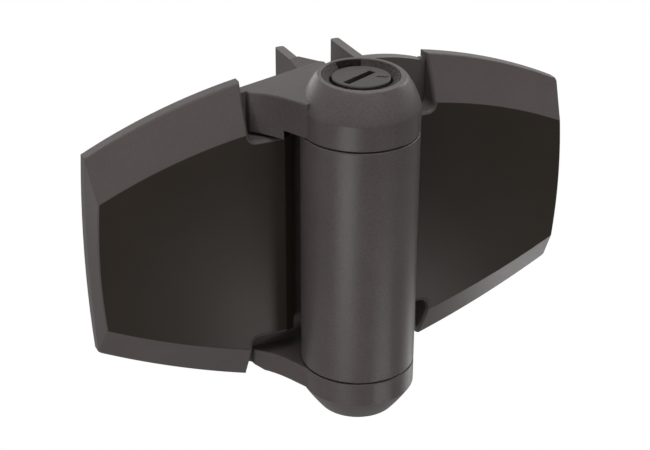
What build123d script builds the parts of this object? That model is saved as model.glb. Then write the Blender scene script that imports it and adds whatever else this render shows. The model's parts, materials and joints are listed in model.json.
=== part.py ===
from build123d import *
import os
from math import cos, hypot, pi, radians, sin, sqrt

# Self-closing gate hinge. Everything is built about the barrel: its axis is Z, z = 0 is the middle of
# the barrel, +X is the gate's side, -X the post's side, and the mounting faces look towards +Y.
# All sizes are in millimetres. At the end the parts are moved to the centre of the post leaf's fixings.

# Fits
press_gap = 0.05
running_gap = 0.05
axial_gap = 0.05
key_gap = 0.1
free_gap = 0.3

# Barrel and the faces of the two knuckles above and below it
barrel_r = 20.0
barrel_half = 43.3
barrel_wall = 4.5
knuckle_gap = 0.5
edge_round = 0.4
knuckle_face = barrel_half + knuckle_gap
barrel_bore_r = barrel_r - barrel_wall

# Top knuckle with its dome, and the lip round the opening at its top
knuckle_wall = 6.95
knuckle_high = 8.5
dome_high = 11.3
lip_wall = 0.85
lip_fall = 0.043
lip_edge_round = 0.3
dome_power = 1.5
dome_points = 8
knuckle_bore_r = barrel_r - knuckle_wall
dome_start = knuckle_face + knuckle_high
lip_z = dome_start + dome_high
lip_r = knuckle_bore_r + lip_wall

# Foot knuckle
foot_high = 9.2
foot_taper = 6.5
foot_bulge = 0.2
foot_round = 1.2
foot_cap_wall = 2.2
foot_step_w = 1.0
foot_step_high = 6.5
foot_start = -dome_start
foot_z = foot_start - foot_high
foot_r = barrel_r - foot_taper
foot_cap_bore_r = foot_r - foot_cap_wall
foot_bore_r = foot_cap_bore_r - foot_step_w
foot_step_z = foot_z + foot_step_high

# Leaves: the mounting face, the back plate and the fin that stands in the gate gap
mount_proud = 4.5
plate_t = 4.0
fin_outer = 12.2
fin_t = 3.3
fin_deep = 19.7
fin_tip_round = 1.0
fin_over_top = 15.6
fin_over_bottom = 9.2
mount_y = barrel_r + mount_proud
plate_y = mount_y - plate_t
fin_inner = fin_outer - fin_t
fin_tip_y = mount_y + fin_deep
fin_top = knuckle_face + fin_over_top
fin_bottom = -knuckle_face - fin_over_bottom

# Outline of the covers on the mounting side, and of the raised panel in front
notch_out = 14.6
cover_len = 54.1
cover_in_gap = 1.6
cover_top_drop = 1.0
cover_bottom_drop = 1.1
cover_top_fall = 17.8
cover_bottom_rise = 22.3
cover_side_deep = 4.8
cover_deep = 11.8
strip_w = 3.4
strip_deep = 2.0
panel_end_w = 1.7
panel_top_w = 16.0
panel_top_fall = 15.7
panel_bottom_w = 13.9
panel_bottom_rise = 20.4
top_bulge = 2.0
bottom_bulge = 1.3
outer_bulge = 1.3
notch_drop = 5.95
notch_round = 2.5
notch_edge_round = 1.6
tongue_lift = 1.85
cover_wall = 2.2
cover_gap = 0.3
cover_edge_round = 0.8
notch_x = barrel_r + notch_out
cover_out_x = notch_x + cover_len
cover_in_x = barrel_r - cover_in_gap
cover_top_in = fin_top - cover_top_drop
cover_top_out = cover_top_in - cover_top_fall
cover_bottom_in = fin_bottom - cover_bottom_drop
cover_bottom_out = cover_bottom_in + cover_bottom_rise
panel_in_x = cover_in_x + strip_w
panel_out_x = cover_out_x - panel_end_w
panel_top_in = cover_top_in - panel_top_w
panel_top_out = panel_top_in - panel_top_fall
panel_bottom_in = cover_bottom_in + panel_bottom_w
panel_bottom_out = panel_bottom_in + panel_bottom_rise
notch_z = knuckle_face - notch_drop
tongue_top = notch_z + tongue_lift
tongue_low = -notch_z + tongue_lift
cover_back_y = mount_y - cover_gap
side_front_y = mount_y - cover_side_deep
panel_y = mount_y - cover_deep
panel_in_y = panel_y + cover_wall
seat_y = plate_y - cover_gap

# Bare inner part of the back plate, from the fin to the covers' notches
tab_gap = 0.4
tab_shoulder_out = 2.0
tab_shoulder_drop = 0.9
tab_end_drop = 4.0
tab_end_rise = 1.8
tab_x = notch_x - tab_gap
tab_shoulder_x = barrel_r + tab_shoulder_out
tab_shoulder_z = fin_top - tab_shoulder_drop
tab_end_top = fin_top - tab_end_drop
tab_end_bottom = fin_bottom + tab_end_rise
plate_inset = cover_wall + cover_gap

# Fixing holes, side holes and the pegs that hold the covers
fixing_start = 7.4
fixing_spacing_x = 32.0
fixing_spacing_z = 48.0
fixing_r = 3.25
side_hole_deep = 10.5
side_hole_spacing = 50.0
side_hole_r = 2.6
peg_spacing = 28.0
peg_r = 2.3
peg_gap = 0.3
peg_short = 0.8
fixing_x_near = notch_x + fixing_start
fixing_x_far = fixing_x_near + fixing_spacing_x
fixing_x = (fixing_x_near + fixing_x_far) / 2
fixing_z = fixing_spacing_z / 2
side_hole_y = mount_y + side_hole_deep
side_hole_z = side_hole_spacing / 2
peg_z = peg_spacing / 2

# Arms between the post leaf and its two knuckles, and the web between the barrel and the gate leaf
arm_meets_deg = 184.0
arm_lean_deg = 24.5
arm_straight = 9.0
arm_root_gap = 2.5
arm_root_t = 5.9
arm_side_gap = 1.3
arm_drop_x = 24.2
arm_drop_gap = 0.9
arm_side_round = 1.2
arm_edge_round = 0.6
arm_back_x = 3.0
arm_back_t = 1.5
arm_fin_bite = 6.5
arm_top_rise = 0.1
arm_top_fall = 0.171
arm_top_tilt = 0.04
foot_arm_short = 1.0
foot_arm_knee = 5.6
foot_arm_end_rise = 3.8
web_in = 2.1
web_deep = 12.0
arm_root_x = notch_x - arm_root_gap
arm_root_y = mount_y - arm_root_t
arm_side_x = notch_x - arm_side_gap
arm_back_y = mount_y - arm_back_t
arm_fin_y = mount_y + arm_fin_bite
arm_top_z = fin_top + arm_top_rise
arm_drop_z = tongue_top + arm_drop_gap
foot_arm_bottom = fin_bottom + foot_arm_short
foot_arm_knee_x = notch_x - foot_arm_knee
foot_arm_end = fin_bottom + foot_arm_end_rise
web_x = barrel_r - web_in
web_front_y = barrel_r - web_deep

# Pivots, bushes and washers
sleeve_wall = 2.0
sleeve_above = 3.2
bush_deep = 7.3
bush_flange_in = 2.5
bush_flange_t = 0.8
recess_deep = 1.2
recess_gap = 0.1
washer_in_gap = 0.3
washer_out_gap = 0.2
plug_short = 0.2
sleeve_out_r = knuckle_bore_r - press_gap
sleeve_in_r = sleeve_out_r - sleeve_wall
sleeve_low = barrel_half - bush_deep
sleeve_high = knuckle_face + sleeve_above
bush_flange_r = barrel_r - bush_flange_in
flange_low = barrel_half - recess_deep
washer_r = bush_flange_r - washer_out_gap
pivot_plug_top = -sleeve_low - plug_short
plug_r = foot_bore_r - press_gap

# Setting of the spring: collar, dial, index ring and pawls
index_high = 5.0
collar_sink = 0.2
funnel_deep = 2.1
funnel_w = 2.7
collar_ledge_w = 1.5
window_from_deg = 65.0
window_to_deg = 107.0
window_deep = 3.0
window_wall = 0.3
dial_gap = 0.5
dial_sink = 1.15
dial_t = 3.9
dial_edge_round = 0.5
dial_hub_gap = 0.8
slot_len = 13.8
slot_w = 2.6
slot_edge_round = 0.25
slot_deep = 2.4
slot_shift = 1.0
slot_turn_deg = 26.0
index_teeth = 24
index_wall = 2.3
tooth_high = 1.2
tooth_face = 0.1
tooth_back = 0.6
tooth_bite = 0.5
pawl_up = 1.0
pawl_t = 2.4
pawl_count = 3
pawl_ring_t = 0.9
pawl_arm_out = 1.4
pawl_arm_t = 0.5
pawl_sweep_deg = 66.0
pawl_tip_deg = 2.0
pawl_tip_gap = 0.4
pawl_rest = 0.8
pawl_root_deg = 6.0
pawl_bite = 0.3
collar_low = sleeve_high + index_high
funnel_high = lip_z - collar_sink
funnel_low = funnel_high - funnel_deep
funnel_in_r = sleeve_out_r - funnel_w
dial_r = funnel_in_r - dial_gap
dial_top = funnel_high - dial_sink
dial_low = dial_top - dial_t
collar_ledge_z = dial_low - free_gap
collar_ledge_r = dial_r - collar_ledge_w
dial_hub_r = collar_ledge_r - dial_hub_gap
index_root_r = sleeve_out_r - index_wall
index_tip_r = index_root_r - tooth_high
pawl_low = sleeve_high + pawl_up
pawl_high = pawl_low + pawl_t
pawl_arm_r = dial_hub_r + pawl_arm_out

# Spindle, anchors, mandrel and spring
spindle_r = 3.5
spindle_square = 4.9
spindle_sink = 4.0
anchor_neck_gap = 0.3
anchor_flange_gap = 2.5
anchor_flange_t = 5.7
clip_t = 0.9
clip_out_r = 5.2
clip_groove_r = 2.8
clip_mouth_deg = 50.0
mandrel_room = 1.0
mandrel_gap = 1.0
wire_r = 1.9
wire_pitch = 4.6
spring_room = 3.1
spring_clear = 4.0
tang_len = 8.0
knee = 1.04
lower_anchor_gap = 0.5
lower_anchor_t = 11.5
spindle_short = 1.5
key_count = 3
key_w = 3.0
key_deep = 1.3
key_bite = 2.0
spindle_top = dial_low - spindle_sink
anchor_high = sleeve_high - free_gap
anchor_flange_top = sleeve_low - free_gap
anchor_low = anchor_flange_top - anchor_flange_t
anchor_neck_r = sleeve_in_r - anchor_neck_gap
anchor_flange_r = barrel_bore_r - anchor_flange_gap
clip_high = anchor_low - axial_gap
clip_low = anchor_low - clip_t
lower_anchor_low = -sleeve_low + lower_anchor_gap
lower_anchor_high = lower_anchor_low + lower_anchor_t
spindle_low = lower_anchor_low + spindle_short
mandrel_low = lower_anchor_high + mandrel_gap
spring_r = barrel_bore_r - wire_r - spring_room
mandrel_out_r = spring_r - wire_r - mandrel_room
spring_low = lower_anchor_high + spring_clear
spring_high = anchor_low - spring_clear
spring_turns = round((spring_high - spring_low) / wire_pitch)
spring_pitch = (spring_high - spring_low) / spring_turns

# Foot cap and its screw
cap_t = 3.1
cap_sink = 0.3
screw_r = 2.5
screw_len = 13.0
screw_head_r = 4.4
screw_head_t = 2.2
socket_across = 3.0
socket_sides = 6
socket_deep = 1.2
cap_low = foot_z + cap_sink
cap_top = cap_low + cap_t
head_seat = cap_low + screw_head_t
screw_top = head_seat + screw_len

# Two places nearer than this are one
tiny = 0.001

# Degrees in a full turn
full_turn = 360

# Tools that cut through a wall reach this far past it, and those that cut a whole side away this far
past = 1.0
far = 100.0

parts = {}


def round_bar(radius, low, high):
    """A cylinder on the barrel axis between two levels."""
    return Pos(0, 0, low) * Cylinder(radius, high - low, align=(Align.CENTER, Align.CENTER, Align.MIN))


def ring(outer, inner, low, high):
    """A plain ring on the barrel axis."""
    return round_bar(outer, low, high) - round_bar(inner, low - past, high + past)


def block(x0, x1, y0, y1, z0, z1):
    """A box given by its six faces."""
    size = (x1 - x0, y1 - y0, z1 - z0)
    return Pos((x0 + x1) / 2, (y0 + y1) / 2, (z0 + z1) / 2) * Box(*size)


def hole_y(x, z, radius, y0, y1):
    """A cylinder along Y between two depths."""
    return Pos(x, (y0 + y1) / 2, z) * Rot(90, 0, 0) * Cylinder(radius, y1 - y0)


def hole_x(y, z, radius, x0, x1):
    """A cylinder along X between two places."""
    return Pos((x0 + x1) / 2, y, z) * Rot(0, 90, 0) * Cylinder(radius, x1 - x0)


def polar(radius, angle_deg):
    """Place on a circle round the barrel axis."""
    return (radius * cos(radians(angle_deg)), radius * sin(radians(angle_deg)))


def bowed(a, b, bulge):
    """Middle point of an arc from a to b that stands out to the left of the way by the bulge."""
    dx, dz = b[0] - a[0], b[1] - a[1]
    length = hypot(dx, dz)
    return ((a[0] + b[0]) / 2 - dz / length * bulge, (a[1] + b[1]) / 2 + dx / length * bulge)


def plane_wire(points_and_arcs, y):
    """A closed wire in the plane y = const from (start, middle or None, end) steps."""
    edges = []
    for start, middle, end in points_and_arcs:
        if middle is None:
            edges.append(Line((start[0], y, start[1]), (end[0], y, end[1])))
        else:
            points = [(p[0], y, p[1]) for p in (start, middle, end)]
            edges.append(ThreePointArc(*points))
    return Wire([e.edge() for e in edges])


def leaf_wire(y, x_in, x_out, top_in, top_out, bottom_in, bottom_out, inset=0.0):
    """Outline of a leaf at depth y on the gate's side, drawn in by the inset all round."""
    top_slope = (top_in - top_out) / (x_out - notch_x)
    bottom_slope = (bottom_out - bottom_in) / (x_out - notch_x)
    top_drop = inset * sqrt(1 + top_slope ** 2)
    bottom_rise = inset * sqrt(1 + bottom_slope ** 2)
    low_in = (notch_x, bottom_in + bottom_rise)
    low_out = (x_out - inset, bottom_out - bottom_slope * inset + bottom_rise)
    high_out = (x_out - inset, top_out + top_slope * inset - top_drop)
    high_in = (notch_x, top_in - top_drop)
    low_edge = (x_in + inset, low_in[1])
    high_edge = (x_in + inset, high_in[1])
    steps = [
        (low_edge, None, low_in),
        (low_in, bowed(low_in, low_out, -bottom_bulge), low_out),
        (low_out, bowed(low_out, high_out, -outer_bulge), high_out),
        (high_out, bowed(high_out, high_in, -top_bulge), high_in),
        (high_in, None, high_edge),
        (high_edge, None, low_edge),
    ]
    return plane_wire(steps, y)


def back_wire(y, inset=0.0, x_in=cover_in_x):
    """Outline of the cover on the mounting side, drawn in by the inset."""
    heights = (cover_top_in, cover_top_out, cover_bottom_in, cover_bottom_out)
    return leaf_wire(y, x_in, cover_out_x, *heights, inset)


def panel_wire(y, inset=0.0):
    """Outline of the raised panel, drawn in by the inset."""
    heights = (panel_top_in, panel_top_out, panel_bottom_in, panel_bottom_out)
    return leaf_wire(y, panel_in_x, panel_out_x, *heights, inset)


def prism_y(wire, length):
    """The wire's face carried along +Y."""
    return extrude(Face(wire), amount=length, dir=(0, 1, 0))


def notch_prism(side, grow, y0, y1):
    """Space of the top (side 1) or bottom (side -1) notch of a cover, grown by a wall."""
    edge = tongue_top if side > 0 else -tongue_low
    x, z, r = notch_x + grow, edge - grow, notch_round + grow
    end = side * far
    near = side * z
    turn = side * (z + r)
    middle = (x - r + r * sin(pi / 4), side * (z + r - r * cos(pi / 4)))
    steps = [
        ((0, near), None, (x - r, near)),
        ((x - r, near), middle, (x, turn)),
        ((x, turn), None, (x, end)),
        ((x, end), None, (0, end)),
        ((0, end), None, (0, near)),
    ]
    return prism_y(plane_wire(steps, y0), y1 - y0)


def notch_flare(side, rim_y):
    """A notch's space with the space before the panel, which reaches the rim at rim_y, rounded between."""
    edge, panel_end, rim_end = tongue_top, panel_top_in, cover_top_in
    if side < 0:
        edge, panel_end, rim_end = tongue_low, panel_bottom_in, cover_bottom_in
    spare = 2 * notch_edge_round
    rise = (rim_y - panel_y) / (rim_end - panel_end)
    z0, z1 = edge - side * spare, rim_end + side * spare
    y0, y1 = (panel_y + rise * (z - panel_end) for z in (z0, z1))
    front = panel_y - far
    profile = Polyline((0, y0, z0), (0, y1, z1), (0, front, z1), (0, front, z0), close=True)
    space = extrude(Face(Wire(profile.edges())), amount=notch_x + spare, dir=(1, 0, 0))
    levels = block(0, notch_x, front, rim_y + spare, min(z0, z1), max(z0, z1))
    space += notch_prism(side, 0.0, front, mount_y + far) & levels
    rims = []
    for e in space.edges():
        ends = [e @ k for k in (0, 0.5, 1)]
        flat = all(abs(p.Y - panel_y - rise * (p.Z - panel_end)) < tiny for p in ends)
        if flat and 0 < ends[1].X < notch_x + tiny and min(z0, z1) + tiny < ends[1].Z < max(z0, z1) - tiny:
            rims.append(e)
    return fillet(rims, notch_edge_round)


# Back plate of a leaf, on the gate's side
def tab_wire(y, grow=0.0):
    """The bare inner part of the plate, from the fin to the covers' notches."""
    low_in = (fin_inner, fin_bottom - grow)
    low_out = (tab_x, tab_end_bottom - grow)
    high_out = (tab_x, tab_end_top + grow)
    shoulder = (tab_shoulder_x, tab_shoulder_z + grow)
    high_in = (fin_inner, fin_top + grow)
    steps = [
        (low_in, None, low_out),
        (low_out, None, high_out),
        (high_out, shoulder, high_in),
        (high_in, None, low_in),
    ]
    return plane_wire(steps, y)


def leaf_plate():
    """Back plate with its fin and holes."""
    plate = prism_y(back_wire(plate_y, plate_inset, notch_x - plate_inset - past), plate_t)
    plate += prism_y(tab_wire(plate_y), plate_t)
    fin = block(fin_inner, fin_outer, plate_y, fin_tip_y, fin_bottom, fin_top)
    tip_edges = fin.edges().filter_by(Axis.Z).group_by(Axis.Y)[-1]
    fin = fillet(tip_edges, fin_tip_round)
    plate += fin
    for x in (fixing_x_near, fixing_x_far):
        for z in (-fixing_z, fixing_z):
            plate -= hole_y(x, z, fixing_r, plate_y - past, mount_y + past)
    for z in (-peg_z, peg_z):
        plate -= hole_y(fixing_x, z, peg_r + peg_gap, plate_y - past, mount_y + past)
    for z in (-side_hole_z, side_hole_z):
        plate -= hole_x(side_hole_y, z, side_hole_r, fin_inner - past, fin_outer + past)
    return plate


# Faceted cover of a leaf, on the gate's side
def cover_body():
    """The cover's outside as a solid, with its edges eased."""
    body = prism_y(back_wire(side_front_y), cover_back_y - side_front_y)
    body += Solid.make_loft([back_wire(side_front_y), panel_wire(panel_y)], ruled=True)
    filled = block(cover_in_x, notch_x, panel_y, cover_back_y, tongue_low, tongue_top)
    strip = Polyline(
        (cover_in_x, panel_y, tongue_low),
        (panel_in_x, panel_y, tongue_low),
        (cover_in_x, panel_y + strip_deep, tongue_low),
        close=True,
    )
    body += filled - extrude(Face(Wire(strip.edges())), amount=tongue_top - tongue_low, dir=(0, 0, 1))
    for side in (-1, 1):
        body -= notch_prism(side, 0.0, panel_y - past, mount_y + past)
    eased = []
    for edge in body.edges():
        box = edge.bounding_box()
        on_panel = box.max.Y - panel_y < tiny
        on_side = box.min.Y > side_front_y - tiny and box.max.Y < side_front_y + tiny
        corner = box.min.Y < panel_y + tiny and abs(box.max.Y - side_front_y) < tiny
        beside = box.min.Z > tongue_top - tiny or box.max.Z < tongue_low + tiny
        at_notch = box.max.X < notch_x + tiny and beside
        if (on_panel or on_side or corner) and not at_notch:
            eased.append(edge)
    body = fillet(eased, cover_edge_round)
    for side in (-1, 1):
        body -= notch_flare(side, panel_y)
        body -= notch_flare(side, side_front_y)
    return body


def leaf_cover():
    """The cover as a shell with its seat on the plate and its two pegs."""
    body = cover_body()
    cavity = prism_y(back_wire(side_front_y, cover_wall), cover_deep)
    cavity += Solid.make_loft(
        [back_wire(side_front_y, cover_wall), panel_wire(panel_in_y, cover_wall)], ruled=True
    )
    cavity += block(cover_in_x + cover_wall, notch_x, panel_in_y, mount_y + past, tongue_low, tongue_top)
    for side in (-1, 1):
        cavity -= notch_prism(side, cover_wall, panel_y - past, mount_y + cover_deep)
    seat = prism_y(back_wire(seat_y, cover_wall, -cover_in_x), cover_deep)
    shell = body - cavity - seat
    for z in (-peg_z, peg_z):
        shell += hole_y(fixing_x, z, peg_r, panel_y + cover_wall / 2, mount_y - peg_short)
    return shell


# Knuckles and arms of the post leaf
def above_lip(z):
    """Everything above the plane of the lip, which is at level z at its back and falls to the front."""
    front_z = z - lip_fall * (far + lip_r)
    ends = [(-far, lip_r, z), (-far, -far, front_z), (-far, -far, far), (-far, lip_r, far)]
    return extrude(Face(Wire(Polyline(*ends, close=True).edges())), amount=2 * far, dir=(1, 0, 0))


def dome_profile():
    """Half profile of the top knuckle: a straight wall that bends in to the lip."""
    points = []
    for i in range(dome_points + 1):
        a = pi / 2 * i / dome_points
        r = lip_r + (barrel_r - lip_r) * cos(a) ** dome_power
        z = dome_start + (lip_z - dome_start) * sin(a) ** dome_power
        points.append((r, 0, z))
    wall = Line((barrel_r, 0, knuckle_face), points[0])
    curve = Spline(*points, tangents=[(0, 0, 1), (-1, 0, 0)])
    top = Line(points[-1], (0, 0, lip_z))
    axis = Line((0, 0, lip_z), (0, 0, knuckle_face))
    base = Line((0, 0, knuckle_face), (barrel_r, 0, knuckle_face))
    return Wire([e.edge() for e in (wall, curve, top, axis, base)])


def foot_profile():
    """Half profile of the foot knuckle: a straight wall, a slightly full taper and a rounded end."""
    a = (barrel_r, foot_start)
    b = (foot_r, foot_z)
    middle = bowed(a, b, foot_bulge)
    taper = ThreePointArc((a[0], 0, a[1]), (middle[0], 0, middle[1]), (b[0], 0, b[1]))
    wall = Line((barrel_r, 0, -knuckle_face), (a[0], 0, a[1]))
    end = Line((b[0], 0, b[1]), (0, 0, foot_z))
    axis = Line((0, 0, foot_z), (0, 0, -knuckle_face))
    base = Line((0, 0, -knuckle_face), (barrel_r, 0, -knuckle_face))
    return Wire([e.edge() for e in (wall, taper, end, axis, base)])


def arm_face(z):
    """Plan of an arm at level z: straight from the barrel, curved out to its root, then round to the fin."""
    start = polar(barrel_r, arm_meets_deg)
    way = polar(arm_straight, arm_lean_deg + full_turn / 4)
    knee = (start[0] + way[0], start[1] + way[1], z)
    root = (-arm_root_x, arm_root_y, z)
    straight = Line((*start, z), knee)
    curve = TangentArc(knee, root, tangent=(*way, 0))
    rest = Polyline(
        root,
        (-arm_side_x, mount_y, z),
        (-fin_outer, mount_y, z),
        (-fin_outer, arm_fin_y, z),
        (-fin_inner, arm_fin_y, z),
        (-arm_back_x, arm_back_y, z),
        (-arm_back_x, 0, z),
        (*start, z),
    )
    return Face(Wire([straight.edge(), curve.edge()] + list(rest.edges())))


def arm_top_space():
    """Everything above the arm's top, which falls outwards and to the front, and ramps up to the fin."""
    back = (0, mount_y, arm_top_z + arm_top_tilt * mount_y)
    front = (0, -far, arm_top_z - arm_top_tilt * far)
    fin = (0, arm_fin_y, fin_top + arm_top_fall * fin_outer)
    profile = Polyline(front, back, fin, (0, arm_fin_y, far), (0, -far, far), close=True)
    return extrude(Face(Wire(profile.edges())), amount=far, dir=(-1, 0, -arm_top_fall))


def foot_arm_space():
    """Everything below the foot arm's underside, which rises at the outer end."""
    end = (-tab_x, foot_arm_end)
    knee = (-foot_arm_knee_x, foot_arm_bottom)
    steps = [
        ((-far, end[1]), None, end),
        (end, None, knee),
        (knee, None, (-fin_outer, foot_arm_bottom)),
        ((-fin_outer, foot_arm_bottom), None, (-fin_outer, -far)),
        ((-fin_outer, -far), None, (-far, -far)),
        ((-far, -far), None, (-far, end[1])),
    ]
    return prism_y(plane_wire(steps, -far / 2), far)


def front_faces(arm):
    """The arm's upright faces that look to the front and outwards."""
    looks = [(f, f.normal_at()) for f in arm.faces()]
    return [f for f, n in looks if abs(n.Z) < tiny and n.X < 0 and n.Y < -sin(radians(arm_lean_deg) / 2)]


def eased_arm(arm):
    """The arm with its outer upright edge and its front edges rounded."""
    uprights = [e for f in front_faces(arm) for e in f.edges().filter_by(Axis.Z)]
    arm = fillet(min(uprights, key=lambda e: e.center().X), arm_side_round)
    across = [e for f in front_faces(arm) for e in f.edges() if abs((e % 0.5).Z) < sin(pi / 4)]
    return fillet(across, arm_edge_round)


def post_leaf():
    """Post leaf with its arms and both knuckles."""
    leaf = mirror(leaf_plate(), about=Plane.YZ) - arm_top_space() - foot_arm_space()
    top_arm = extrude(arm_face(knuckle_face), amount=2 * fin_over_top, dir=(0, 0, 1)) - arm_top_space()
    leaf += eased_arm(top_arm)
    deep_arm = extrude(arm_face(arm_drop_z), amount=2 * fin_over_top, dir=(0, 0, 1)) - arm_top_space()
    leaf += eased_arm(deep_arm) & block(-far, -arm_drop_x, -far, far, arm_drop_z, knuckle_face + edge_round)
    foot_arm_high = fin_over_bottom - foot_arm_short
    foot_arm = extrude(arm_face(-knuckle_face), amount=foot_arm_high, dir=(0, 0, -1)) - foot_arm_space()
    leaf += eased_arm(foot_arm)
    dome = revolve(Face(dome_profile()), Axis.Z, full_turn)
    leaf += fillet(dome.edges().group_by(Axis.Z)[0], edge_round)
    knuckle = revolve(Face(foot_profile()), Axis.Z, full_turn)
    knuckle = fillet(knuckle.edges().group_by(Axis.Z)[-1], edge_round)
    leaf += fillet(knuckle.edges().group_by(Axis.Z)[0], foot_round)
    leaf -= round_bar(knuckle_bore_r, knuckle_face - past, lip_z + past)
    leaf -= above_lip(lip_z)
    rims = [e for e in leaf.edges() if e.bounding_box().min.Z > dome_start]
    mouth = [e for e in rims if abs(hypot((e @ 0).X, (e @ 0).Y) - knuckle_bore_r) < tiny]
    leaf = fillet(mouth, lip_edge_round)
    leaf -= round_bar(foot_bore_r, foot_z - past, -knuckle_face + past)
    leaf -= round_bar(foot_cap_bore_r, foot_z - past, foot_step_z)
    return leaf


def gate_leaf():
    """Gate leaf with the barrel."""
    leaf = leaf_plate()
    leaf += block(fin_inner, web_x, web_front_y, mount_y, -barrel_half, barrel_half)
    barrel = round_bar(barrel_r, -barrel_half, barrel_half)
    barrel = fillet(barrel.edges(), edge_round)
    leaf += barrel
    leaf -= round_bar(barrel_bore_r, -barrel_half - past, barrel_half + past)
    recess_r = bush_flange_r + recess_gap
    leaf -= round_bar(recess_r, barrel_half - recess_deep, barrel_half + past)
    leaf -= round_bar(recess_r, -barrel_half - past, -barrel_half + recess_deep)
    for i in range(key_count):
        leaf -= Rot(0, 0, full_turn * i / key_count + full_turn / 2) * key_block(key_gap, -barrel_half - past)
    return leaf


def key_block(gap, low):
    """A key of the lower anchor, or its groove when a gap is given."""
    out = barrel_bore_r + key_deep + gap
    half = key_w / 2 + gap
    return block(barrel_bore_r - key_bite, out, -half, half, low, lower_anchor_high + gap)


parts["post_leaf_frame"] = post_leaf()
parts["gate_leaf_frame"] = gate_leaf()
gate_cover = leaf_cover()
parts["gate_leaf_cover"] = gate_cover
parts["post_leaf_cover"] = mirror(gate_cover, about=Plane.YZ)


def sector(outer, inner, from_deg, to_deg, low, high):
    """A slice of a ring between two angles less than a half turn apart."""
    a, b = polar(far, from_deg), polar(far, to_deg)
    middle = polar(far, (from_deg + to_deg) / 2)
    wedge = Polyline((0, 0, low), (*a, low), (*middle, low), (*b, low), close=True)
    slice_space = extrude(Face(Wire(wedge.edges())), amount=high - low, dir=(0, 0, 1))
    return ring(outer, inner, low, high) & slice_space


# Collar round the dial
def adjuster_collar():
    """A funnel down to the dial, with a reading window at the back."""
    outer = sleeve_out_r
    body = ring(outer, funnel_in_r, collar_ledge_z, funnel_high)
    body += ring(outer, collar_ledge_r, collar_low, collar_ledge_z)
    cone = Pos(0, 0, (funnel_low + funnel_high) / 2) * Cone(funnel_in_r, outer, funnel_deep)
    body -= cone
    floor = funnel_high - window_deep
    arc = (window_from_deg, window_to_deg)
    window = sector(outer - window_wall, funnel_in_r - past, *arc, floor, funnel_high + past)
    return body - window - above_lip(funnel_high)


parts["adjuster_collar"] = adjuster_collar()


# Slotted dial
def adjuster_dial():
    """A slotted disc on a hub that drives the spindle."""
    disc = round_bar(dial_r, dial_low, dial_top)
    disc = fillet(disc.edges().group_by(Axis.Z)[-1], dial_edge_round)
    body = disc + round_bar(dial_hub_r, anchor_high, dial_low)
    half = (slot_len / 2, slot_w / 2)
    ends = (-half[0] - slot_shift, half[0] - slot_shift)
    slot = block(*ends, -half[1], half[1], dial_top - slot_deep, dial_top + past)
    body -= Rot(0, 0, slot_turn_deg) * slot
    rims = [e for e in body.edges().group_by(Axis.Z)[-1] if e.geom_type == GeomType.LINE]
    body = fillet(rims, slot_edge_round)
    socket = (spindle_square + press_gap * 2) / 2
    body -= block(-socket, socket, -socket, socket, anchor_high - past, spindle_top + press_gap)
    return body


parts["adjuster_dial"] = adjuster_dial()


# Index ring with its teeth, and the sprung pawls that hold in them
def index_ring():
    """A ring with inner saw teeth."""
    body = ring(sleeve_out_r, index_root_r, sleeve_high, collar_low)
    step = full_turn / index_teeth
    for i in range(index_teeth):
        a = i * step
        root = index_root_r + tooth_bite
        tip = polar(index_tip_r, a + step * tooth_face)
        corners = [polar(root, a), tip, polar(root, a + step * tooth_back)]
        tooth = Polyline(*[(x, y, sleeve_high) for x, y in corners], close=True)
        body += extrude(Face(Wire(tooth.edges())), amount=index_high, dir=(0, 0, 1))
    return body


parts["index_ring"] = index_ring()


def pawl_ring():
    """A ring with springy arms whose noses rest between the teeth."""
    inner = dial_hub_r + press_gap
    hub_r = inner + pawl_ring_t
    body = ring(hub_r, inner, pawl_low, pawl_high)
    step = full_turn / index_teeth
    for i in range(pawl_count):
        tip = full_turn * i / pawl_count + step * pawl_rest
        start = tip - pawl_sweep_deg
        arm_out = pawl_arm_r + pawl_arm_t / 2
        arm_in = pawl_arm_r - pawl_arm_t / 2
        body += sector(arm_out, arm_in, start, tip + pawl_tip_deg, pawl_low, pawl_high)
        body += sector(arm_out, hub_r - pawl_bite, start, start + pawl_root_deg, pawl_low, pawl_high)
        nose_r = index_root_r - pawl_tip_gap
        body += sector(nose_r, arm_in, tip - pawl_tip_deg, tip + pawl_tip_deg, pawl_low, pawl_high)
    return body


parts["pawl_ring"] = pawl_ring()


# Spindle, its clip, the spring anchors and the mandrel
def spindle():
    """A round spindle with a square head and a groove for its clip."""
    half = spindle_square / 2
    body = round_bar(spindle_r, spindle_low, anchor_low)
    square = block(-half, half, -half, half, anchor_low, spindle_top)
    body += square & round_bar(spindle_r, anchor_low, spindle_top)
    body -= ring(spindle_r + past, clip_groove_r, clip_low - axial_gap, anchor_low)
    return body


parts["spindle"] = spindle()
clip = ring(clip_out_r, clip_groove_r + press_gap, clip_low, clip_high)
mouth = (90 - clip_mouth_deg / 2, 90 + clip_mouth_deg / 2)
clip -= sector(clip_out_r + past, clip_groove_r / 2, *mouth, clip_low - past, clip_high + past)
parts["spindle_clip"] = clip


def upper_anchor():
    """Turns with the spindle and holds the spring's upper end."""
    body = round_bar(anchor_flange_r, anchor_low, anchor_flange_top)
    body += round_bar(anchor_neck_r, anchor_flange_top, anchor_high)
    half = spindle_square / 2 + press_gap
    body -= block(-half, half, -half, half, anchor_low - past, anchor_high + past)
    body -= Pos(spring_r, 0, anchor_low) * Cylinder(wire_r + press_gap, 2 * tang_len)
    return body


parts["upper_spring_anchor"] = upper_anchor()
parts["spring_mandrel"] = ring(mandrel_out_r, spindle_r + press_gap, mandrel_low, clip_low - axial_gap)


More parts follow.
